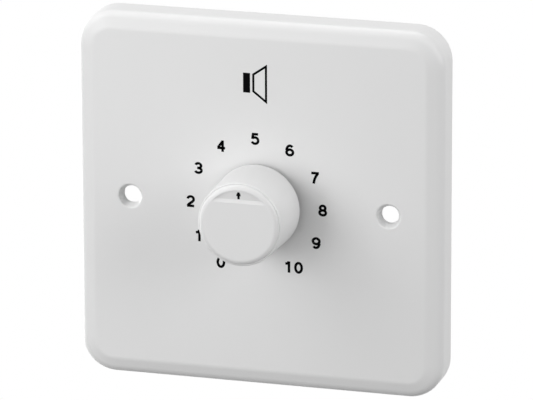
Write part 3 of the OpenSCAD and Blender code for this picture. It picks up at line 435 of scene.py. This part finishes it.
def wear(nodes, material):
    """Gives CAD nodes a material through their own slots."""
    for name in nodes:
        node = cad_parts[name]
        if not node.material_slots:
            node.data.materials.append(material)
        for slot in node.material_slots:
            slot.material = material


def piece(name, bm, material, body):
    """Makes an object of a finished mesh, at the origin, that rides on a body."""
    mesh = bpy.data.meshes.new(name)
    bm.to_mesh(mesh)
    bm.free()
    mesh.materials.append(material)
    made = bpy.data.objects.new(name, mesh)
    bpy.context.scene.collection.objects.link(made)
    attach(made, body)


def spread(number):
    """Steps of a row of things from the row's middle."""
    return [i - (number - 1) / 2 for i in range(number)]


def thicken(bm, faces, depth):
    """Gives flat faces a depth towards the front."""
    grown = bmesh.ops.extrude_face_region(bm, geom=faces)
    moved = [item for item in grown["geom"] if isinstance(item, bmesh.types.BMVert)]
    bmesh.ops.translate(bm, vec=(0, -depth, 0), verts=moved)


def patch(bm, corners, up=0):
    """A flat face at y = 0 through corners in mm, in x and z, raised by up in metres."""
    face = bm.faces.new([bm.verts.new((x * MM, 0, up + z * MM)) for x, z in corners])
    face.normal_update()
    return face


def arc(x, z, width, height, start, end):
    """Points along part of an ellipse: its middle, its half sizes and two angles in degrees."""
    steps = max(2, math.ceil(abs(end - start) / ARC_STEP))
    turns = [math.radians(start + (end - start) * i / steps) for i in range(steps + 1)]
    return [(x + width * math.cos(t), z + height * math.sin(t)) for t in turns]


def ribbon(bm, points, width):
    """Flat faces along a path in x and z, square at its ends and mitred between them."""
    path = [Vector(p) for p in points]
    closed = (path[0] - path[-1]).length < width * CLOSED_WITHIN
    if closed:
        path.pop()
    last = len(path) - 1
    pairs = []
    for i, point in enumerate(path):
        before = path[i - 1] if i or closed else None
        after = path[(i + 1) % len(path)] if i < last or closed else None
        ways = [(b - a).normalized() for a, b in ((before, point), (point, after)) if a and b]
        along = sum(ways, Vector((0, 0))).normalized()
        across = Vector((-along.y, along.x)) * width / 2 / max(MITRE_LIMIT, along.dot(ways[0]))
        pairs.append([bm.verts.new((p.x, 0, p.y)) for p in (point - across, point + across)])
    ends = zip(pairs, pairs[1:] + pairs[:1] if closed else pairs[1:])
    return [bm.faces.new((a[0], b[0], b[1], a[1])) for a, b in ends]


def revolve(bm, profile, place):
    """Turns points of radius and height about an upright axis, then puts the form in its place."""
    before = len(bm.verts)
    points = [bm.verts.new((radius, 0, height)) for radius, height in profile]
    edges = [bm.edges.new(pair) for pair in zip(points, points[1:])]
    bmesh.ops.spin(
        bm, geom=[*points, *edges], cent=(0, 0, 0), axis=(0, 0, 1), angle=math.tau,
        steps=JOINT_SIDES, use_merge=True)
    bmesh.ops.transform(bm, matrix=place, verts=list(bm.verts)[before:])


def digit(number):
    """Middle lines of a digit's strokes in mm about its middle: about 2 wide and 2.7 high."""
    low, high = -1.1, 1.1
    foot, top = -1.325, 1.325
    six = [arc(0.01, -0.45, 0.75, 0.65, 0, 360), arc(0.06, 0, 0.79, 1.1, 180, 44)]
    return (
        [arc(0, 0, 0.74, 1.1, 0, 360)],
        [[(0.22, foot), (0.22, top)], [(-0.62, 0.74), (-0.2, 0.8), (0.06, 0.95), (0.18, top)]],
        [[*arc(-0.02, 0.45, 0.7, 0.65, 172, -28), (0.26, -0.18), (-0.35, -0.62), (-0.66, -0.95),
          (-0.7, low)],
         [(-0.9, low), (0.78, low)]],
        [arc(-0.03, 0.55, 0.64, 0.55, 165, -90), arc(-0.03, -0.55, 0.74, 0.55, 90, -165),
         [(-0.3, 0), (0, 0)]],
        [[(0.31, top), (0.31, foot)], [(0.34, 1.16), (-0.72, -0.3)],
         [(-0.93, -0.45), (0.9, -0.45)]],
        [[(0.7, high), (-0.46, high), (-0.63, -0.02)], arc(-0.03, -0.37, 0.75, 0.73, 142, -158)],
        six,
        [[(-0.8, high), (0.96, high)],
         [(0.78, high), (0.26, 0.38), (-0.08, -0.42), (-0.26, foot)]],
        [arc(0, 0.56, 0.6, 0.54, 0, 360), arc(0, -0.53, 0.74, 0.57, 0, 360)],
        [[(-x, -z) for x, z in stroke] for stroke in six],
    )[number]


class PrintNumbers(bpy.types.Operator):
    """Prints the numbers round the knob"""

    bl_idname = "volume_control.print_numbers"
    bl_label = "Numbers"

    def execute(self, context):
        dial = settings().dial
        bm = bmesh.new()
        for number, step in enumerate(spread(dial.highest + 1)):
            turn, ring = step * dial.step, dial.ring
            if number in (0, dial.highest):
                turn, ring = math.copysign(dial.end_turn, turn), dial.end_ring
            middle = Vector((ring * math.sin(turn) - dial.shift, ring * math.cos(turn)))
            middle += Vector(NUDGES[number]) * MM
            digits = [int(c) for c in str(number)]
            for place, value in zip(spread(len(digits)), digits):
                start = middle + Vector((place * dial.gap, 0))
                for stroke in digit(value):
                    points = [(start.x + x * MM, start.y + z * MM) for x, z in stroke]
                    thicken(bm, ribbon(bm, points, dial.stroke), dial.ink)
        bmesh.ops.translate(bm, vec=(0, PLATE_LOW.y, 0), verts=bm.verts)
        bmesh.ops.recalc_face_normals(bm, faces=bm.faces)
        ink = printed_ink("ink_pad_printed", settings().colours.ink)
        piece("dial_numbers", bm, ink, "wall_unit")
        return {"FINISHED"}


class PrintSymbol(bpy.types.Operator):
    """Prints the plain loudspeaker symbol above the dial"""

    bl_idname = "volume_control.print_symbol"
    bl_label = "Loudspeaker symbol"

    def execute(self, context):
        dial = settings().dial
        bm = bmesh.new()
        filled = patch(bm, BLOCK, dial.symbol_up)
        open_face = patch(bm, HORN, dial.symbol_up)
        rim = bmesh.ops.inset_region(
            bm, faces=[open_face], thickness=dial.symbol_line, use_even_offset=True,
            use_boundary=True)["faces"]
        bmesh.ops.delete(bm, geom=[open_face], context="FACES")
        thicken(bm, [filled, *rim], dial.ink)
        bmesh.ops.translate(bm, vec=(0, PLATE_LOW.y, 0), verts=bm.verts)
        bmesh.ops.recalc_face_normals(bm, faces=bm.faces)
        ink = printed_ink("ink_pad_printed_symbol", settings().colours.ink)
        piece("speaker_symbol", bm, ink, "wall_unit")
        return {"FINISHED"}


class PrintArrow(bpy.types.Operator):
    """Prints the arrow on the sloped floor of the cap's sunk segment"""

    bl_idname = "volume_control.print_arrow"
    bl_label = "Pointer arrow"

    def execute(self, context):
        dial = settings().dial
        run = CAP_HIGH.z - dial.floor_low
        sunk = dial.floor_depth * (CAP_HIGH.z - dial.arrow_up) / run
        slope = Matrix.Rotation(math.atan2(dial.floor_depth, run), 4, "X")
        bm = bmesh.new()
        thicken(bm, [patch(bm, ARROW)], dial.ink)
        place = Matrix.Translation((0, CAP_LOW.y + sunk, dial.arrow_up))
        bmesh.ops.transform(bm, matrix=place @ slope, verts=bm.verts)
        bmesh.ops.recalc_face_normals(bm, faces=bm.faces)
        ink = printed_ink("ink_pad_printed_arrow", settings().colours.ink)
        piece("pointer_arrow", bm, ink, "knob")
        return {"FINISHED"}


class FinishPlastics(bpy.types.Operator):
    """Gives the moulded pieces their plastics"""

    bl_idname = "volume_control.finish_plastics"
    bl_label = "Moulded pieces"

    def execute(self, context):
        c = settings().colours
        wear(["front_plate"], moulded(
            "abs_moulded_white_plate", c.white, roughness=0.42, grain_mm=0.35, depth_mm=0.012))
        wear(["knob_body", "knob_cap"], moulded(
            "abs_moulded_white_knob", c.white, roughness=0.38, grain_mm=0.3, depth_mm=0.008))
        wear(["switch_housing", "contact_deck", "bobbin"], moulded(
            "nylon_moulded_black", c.black, roughness=0.5, grain_mm=0.25, depth_mm=0.02))
        wear(["rotor"], moulded(
            "acetal_moulded_cream", c.cream, roughness=0.45, grain_mm=0.3, depth_mm=0.01,
            ior=1.48))
        wear(["terminal_housing"], moulded(
            "polyamide_moulded_green", c.green, roughness=0.48, grain_mm=0.25, depth_mm=0.02))
        return {"FINISHED"}


class FinishMetals(bpy.types.Operator):
    """Gives the metal pieces their turned, rolled and plated surfaces"""

    bl_idname = "volume_control.finish_metals"
    bl_label = "Metal pieces"

    def execute(self, context):
        c = settings().colours
        wear(["knob_collet", "collet_nut", "common_contact"], turned_metal(
            "brass_turned", c.brass, roughness=0.28, pitch_mm=0.9))
        wear(["tap_contacts", "terminal_clamps", "wiper"], rolled_metal(
            "brass_rolled", c.brass, roughness=0.3, grain_mm=0.4))
        wear(["spindle"], turned_metal(
            "steel_turned", c.steel, roughness=0.26, pitch_mm=0.75))
        stamped = [
            "spindle_clip", "stop_ring", "detent_springs", "detent_balls", "bush_washer",
            "core_clamp"]
        wear(stamped, rolled_metal(
            "steel_rolled_stamped", c.steel, roughness=0.32, grain_mm=0.5, stretch=(0.2, 1, 1)))
        wear(["bush_nut", "switch_bush"], turned_metal(
            "zinc_alloy_turned", c.zinc, roughness=0.33, pitch_mm=1.2))
        plated = [
            "deck_screws", "board_screws", "terminal_screws", "transformer_pins", "terminal_pins"]
        wear(plated, rolled_metal("steel_zinc_plated", c.zinc, roughness=0.3, grain_mm=0.4))
        return {"FINISHED"}


class FinishTransformer(bpy.types.Operator):
    """Gives the core its laminations, the coil its wire and the tape its film"""

    bl_idname = "volume_control.finish_transformer"
    bl_label = "Transformer"

    def execute(self, context):
        c = settings().colours
        wear(["core_e", "core_i"], layered(
            "silicon_steel_varnished_laminations", c.iron, pitch_mm=1.2, direction="Y",
            roughness=0.42, metallic=0.75, depth_mm=0.03))
        wear(["winding"], layered(
            "copper_wire_enamelled", c.copper, pitch_mm=0.9, direction="X",
            roughness=0.25, metallic=0.9, depth_mm=0.06))
        wear(["winding_tape"], film_tape("polyester_film_tape", c.tape))
        return {"FINISHED"}


class FinishBoard(bpy.types.Operator):
    """Gives the board its resist and raises the copper tracks on its rear"""

    bl_idname = "volume_control.finish_board"
    bl_label = "Board and tracks"

    def execute(self, context):
        c, sizes = settings().colours, settings().board
        wear(["circuit_board"], solder_resist("solder_resist_on_glass_fibre", c.board))
        inner, outer = [step * sizes.way_pitch for step in spread(sizes.ways)[-2:]]
        low, pin_row = -sizes.way_down, sizes.coil_up - sizes.coil_pitch / 2
        turn = spread(sizes.taps)[-1] * sizes.tap_step
        tap = (sizes.tap_ring * math.sin(turn), sizes.tap_ring * math.cos(turn))
        route = [(x * MM, z * MM) for x, z in OUTER_ROUTE]
        edge = route[-1][0]
        paths = [
            [(inner, low), (inner, INNER_BEND * MM), (0, COMMON_BEND * MM),
             (0, -sizes.common_down)],
            [(-inner, low), (-inner, INNER_BEND * MM), (-tap[0], TAP_BEND * MM),
             (-tap[0], tap[1])]]
        for way in (-1, 1):
            paths.append([(way * x, z) for x, z in (
                (outer, low), (outer, OUTER_BEND * MM), *route,
                (edge - OUTER_CUT * MM, pin_row), (sizes.coil_side, pin_row))])
        bm = bmesh.new()
        # A track reaches as far into the board as it stands out.
        for path in paths:
            thicken(bm, ribbon(bm, path, sizes.track), -2 * sizes.lift)
        bmesh.ops.translate(bm, vec=(0, BOARD_HIGH.y - sizes.lift, 0), verts=bm.verts)
        bmesh.ops.recalc_face_normals(bm, faces=bm.faces)
        # The resist looks lighter over copper than over glass fibre.
        copper = solder_resist("solder_resist_on_copper", shade(c.board, 1.7))
        piece("board_tracks", bm, copper, "wall_unit")
        return {"FINISHED"}


class SolderPins(bpy.types.Operator):
    """Adds a solder joint round each pin, on the side of the board where the pin comes through"""

    bl_idname = "volume_control.solder_pins"
    bl_label = "Solder joints"

    def execute(self, context):
        sizes = settings().board
        turns = [step * sizes.tap_step for step in spread(sizes.taps)]
        rear = [(sizes.tap_ring * math.sin(t), sizes.tap_ring * math.cos(t), sizes.tap_pin)
                for t in turns]
        rear.append((0, -sizes.common_down, sizes.tap_pin))
        front = [(side * sizes.coil_side, sizes.coil_up + step * sizes.coil_pitch, sizes.coil_pin)
                 for side in (-1, 1) for step in spread(sizes.coil_pins)]
        front += [(step * sizes.way_pitch, -sizes.way_down, sizes.way_pin)
                  for step in spread(sizes.ways)]
        bm = bmesh.new()
        for spots, y, way in ((rear, BOARD_HIGH.y, 1), (front, BOARD_LOW.y, -1)):
            upright = Matrix.Rotation(math.radians(-90 * way), 4, "X")
            for x, z, pin in spots:
                side = [(pin + width * (sizes.pad - pin), height * sizes.rise)
                        for height, width in FILLET]
                revolve(bm, [(0, side[0][1]), *side, (0, side[-1][1])],
                        Matrix.Translation((x, y, z)) @ upright)
        bmesh.ops.remove_doubles(bm, verts=bm.verts, dist=MERGE_WITHIN)
        bmesh.ops.recalc_face_normals(bm, faces=bm.faces)
        # The faces of a joint's flat ends are triangles.
        for face in bm.faces:
            face.smooth = len(face.verts) == 4
        tin = rolled_metal(
            "solder_reflowed", settings().colours.solder, roughness=0.24, grain_mm=0.6)
        piece("solder_joints", bm, tin, "wall_unit")
        return {"FINISHED"}


class SetStage(bpy.types.Operator):
    """Sets up the floor, the soft light and the camera"""

    bl_idname = "volume_control.set_stage"
    bl_label = "Stage"

    def execute(self, context):
        stage = settings().stage
        context.scene.view_settings.view_transform = "Standard"
        self.floor(stage)
        self.world(context.scene, stage)
        for name, azimuth, elevation in LAMPS:
            self.lamp(name, azimuth, elevation, stage)
        self.camera(context.scene, stage)
        return {"FINISHED"}

    def camera(self, scene, stage):
        """A long lens on the plate's middle, from the right and a little above."""
        data = bpy.data.cameras.new("camera")
        data.lens = stage.focal * data.sensor_width
        data.clip_start = NEAR_CLIP
        made = bpy.data.objects.new("camera", data)
        scene.collection.objects.link(made)
        turn = Matrix.Rotation(stage.azimuth, 4, "Z")
        tilt = Matrix.Rotation(math.radians(90) - stage.elevation, 4, "X")
        aim = Matrix.Translation((stage.aim_right, stage.aim_up, stage.distance))
        made.matrix_world = turn @ tilt @ Matrix.Rotation(stage.roll, 4, "Z") @ aim
        scene.camera = made

    def floor(self, stage):
        """Pale floor that keeps shadows.

        A glow lifts it to white where it is seen, and hides its rim.
        """
        bm = bmesh.new()
        bmesh.ops.create_circle(
            bm, cap_ends=True, segments=FLOOR_SIDES, radius=stage.floor_size,
            matrix=Matrix.Translation((0, 0, -stage.floor_drop)))
        mesh = bpy.data.meshes.new("floor")
        bm.to_mesh(mesh)
        bm.free()
        material = bpy.data.materials.new("floor_pale_matt")
        material.use_nodes = True
        tree = material.node_tree
        tree.nodes.clear()
        matt = add(tree, "ShaderNodeBsdfDiffuse", {"Color": shade(stage.floor_grey)})
        place = add(tree, "ShaderNodeTexCoord").outputs["Object"]
        flat = add(tree, "ShaderNodeVectorMath", {0: place, 1: (1, 1, 0)}, operation="MULTIPLY")
        radius = add(tree, "ShaderNodeVectorMath", {
            0: flat.outputs["Vector"]}, operation="LENGTH")
        fade = add(tree, "ShaderNodeMapRange", {
            "Value": radius.outputs["Value"], "From Min": stage.floor_size * FLOOR_FADE[0],
            "From Max": stage.floor_size * FLOOR_FADE[1], "To Min": FLOOR_GLOW[0],
            "To Max": FLOOR_GLOW[1]})
        lift = add(tree, "ShaderNodeMath", {
            0: fade.outputs["Result"], 1: self.seen(tree, 0.0)}, operation="MULTIPLY")
        glow = add(tree, "ShaderNodeEmission", {"Strength": lift.outputs["Value"]})
        both = add(tree, "ShaderNodeAddShader", {
            0: matt.outputs["BSDF"], 1: glow.outputs["Emission"]})
        add(tree, "ShaderNodeOutputMaterial", {"Surface": both.outputs["Shader"]})
        mesh.materials.append(material)
        made = bpy.data.objects.new("floor", mesh)
        bpy.context.scene.collection.objects.link(made)

    def world(self, scene, stage):
        """White where it is seen, straight or in a gloss, and an even grey light elsewhere."""
        world = bpy.data.worlds.new("studio")
        world.use_nodes = True
        tree = world.node_tree
        tree.nodes.clear()
        sky = add(tree, "ShaderNodeBackground", {
            "Color": (1, 1, 1, 1), "Strength": self.seen(tree, stage.ambient)})
        add(tree, "ShaderNodeOutputWorld", {"Surface": sky.outputs["Background"]})
        scene.world = world

    def seen(self, tree, unseen):
        """Socket that is 1 for what a camera, gloss or glass sees, and another value for light."""
        path = add(tree, "ShaderNodeLightPath")
        first = add(tree, "ShaderNodeMath", {
            0: path.outputs["Is Camera Ray"],
            1: path.outputs["Is Glossy Ray"]}, operation="MAXIMUM")
        both = add(tree, "ShaderNodeMath", {
            0: first.outputs["Value"],
            1: path.outputs["Is Transmission Ray"]}, operation="MAXIMUM")
        return add(tree, "ShaderNodeMapRange", {
            "Value": both.outputs["Value"], "To Min": unseen}).outputs["Result"]

    def lamp(self, name, azimuth, elevation, stage):
        """A square soft box that faces the frame's origin from a direction in degrees."""
        data = bpy.data.lights.new(name + "_softbox", "AREA")
        data.shape = "SQUARE"
        data.size = stage.box
        data.energy = getattr(stage, name)
        made = bpy.data.objects.new(name + "_softbox", data)
        turn = Matrix.Rotation(math.radians(azimuth), 4, "Z")
        tilt = Matrix.Rotation(math.radians(90 - elevation), 4, "X")
        made.matrix_world = turn @ tilt @ Matrix.Translation((0, 0, stage.reach))
        bpy.context.scene.collection.objects.link(made)


class VolumeControlPanel(bpy.types.Panel):
    """Lists the steps and the settings"""

    bl_idname = "VIEW3D_PT_volume_control"
    bl_label = "Speaker volume control"
    bl_space_type = "VIEW_3D"
    bl_region_type = "UI"
    bl_category = "Volume control"

    def draw(self, context):
        for step in STEPS:
            self.layout.operator(step.bl_idname, text=step.bl_label)
        for group in (settings().dial, settings().board, settings().colours, settings().stage):
            box = self.layout.box()
            for key in group.__annotations__:
                box.prop(group, key)


STEPS = (
    SetStage, FinishPlastics, FinishMetals, FinishTransformer, FinishBoard, SolderPins,
    PrintNumbers, PrintSymbol, PrintArrow)
CLASSES = (
    DialSizes, BoardSizes, FinishColours, StageSettings, VolumeControl, *STEPS,
    VolumeControlPanel)


def register():
    """Adds the classes and the scene's settings."""
    for cls in CLASSES:
        bpy.utils.register_class(cls)
    bpy.types.Scene.volume_control = PointerProperty(
        type=VolumeControl, name="Volume control", description="Settings of the volume control")


def unregister():
    """Removes the scene's settings and the classes."""
    del bpy.types.Scene.volume_control
    for cls in reversed(CLASSES):
        bpy.utils.unregister_class(cls)


def main():
    """Dresses the part step by step."""
    register()
    bpy.ops.volume_control.set_stage()
    bpy.ops.volume_control.finish_plastics()
    bpy.ops.volume_control.finish_metals()
    bpy.ops.volume_control.finish_transformer()
    bpy.ops.volume_control.finish_board()
    bpy.ops.volume_control.solder_pins()
    bpy.ops.volume_control.print_numbers()
    bpy.ops.volume_control.print_symbol()
    bpy.ops.volume_control.print_arrow()


if __name__ == "__main__":
    main()
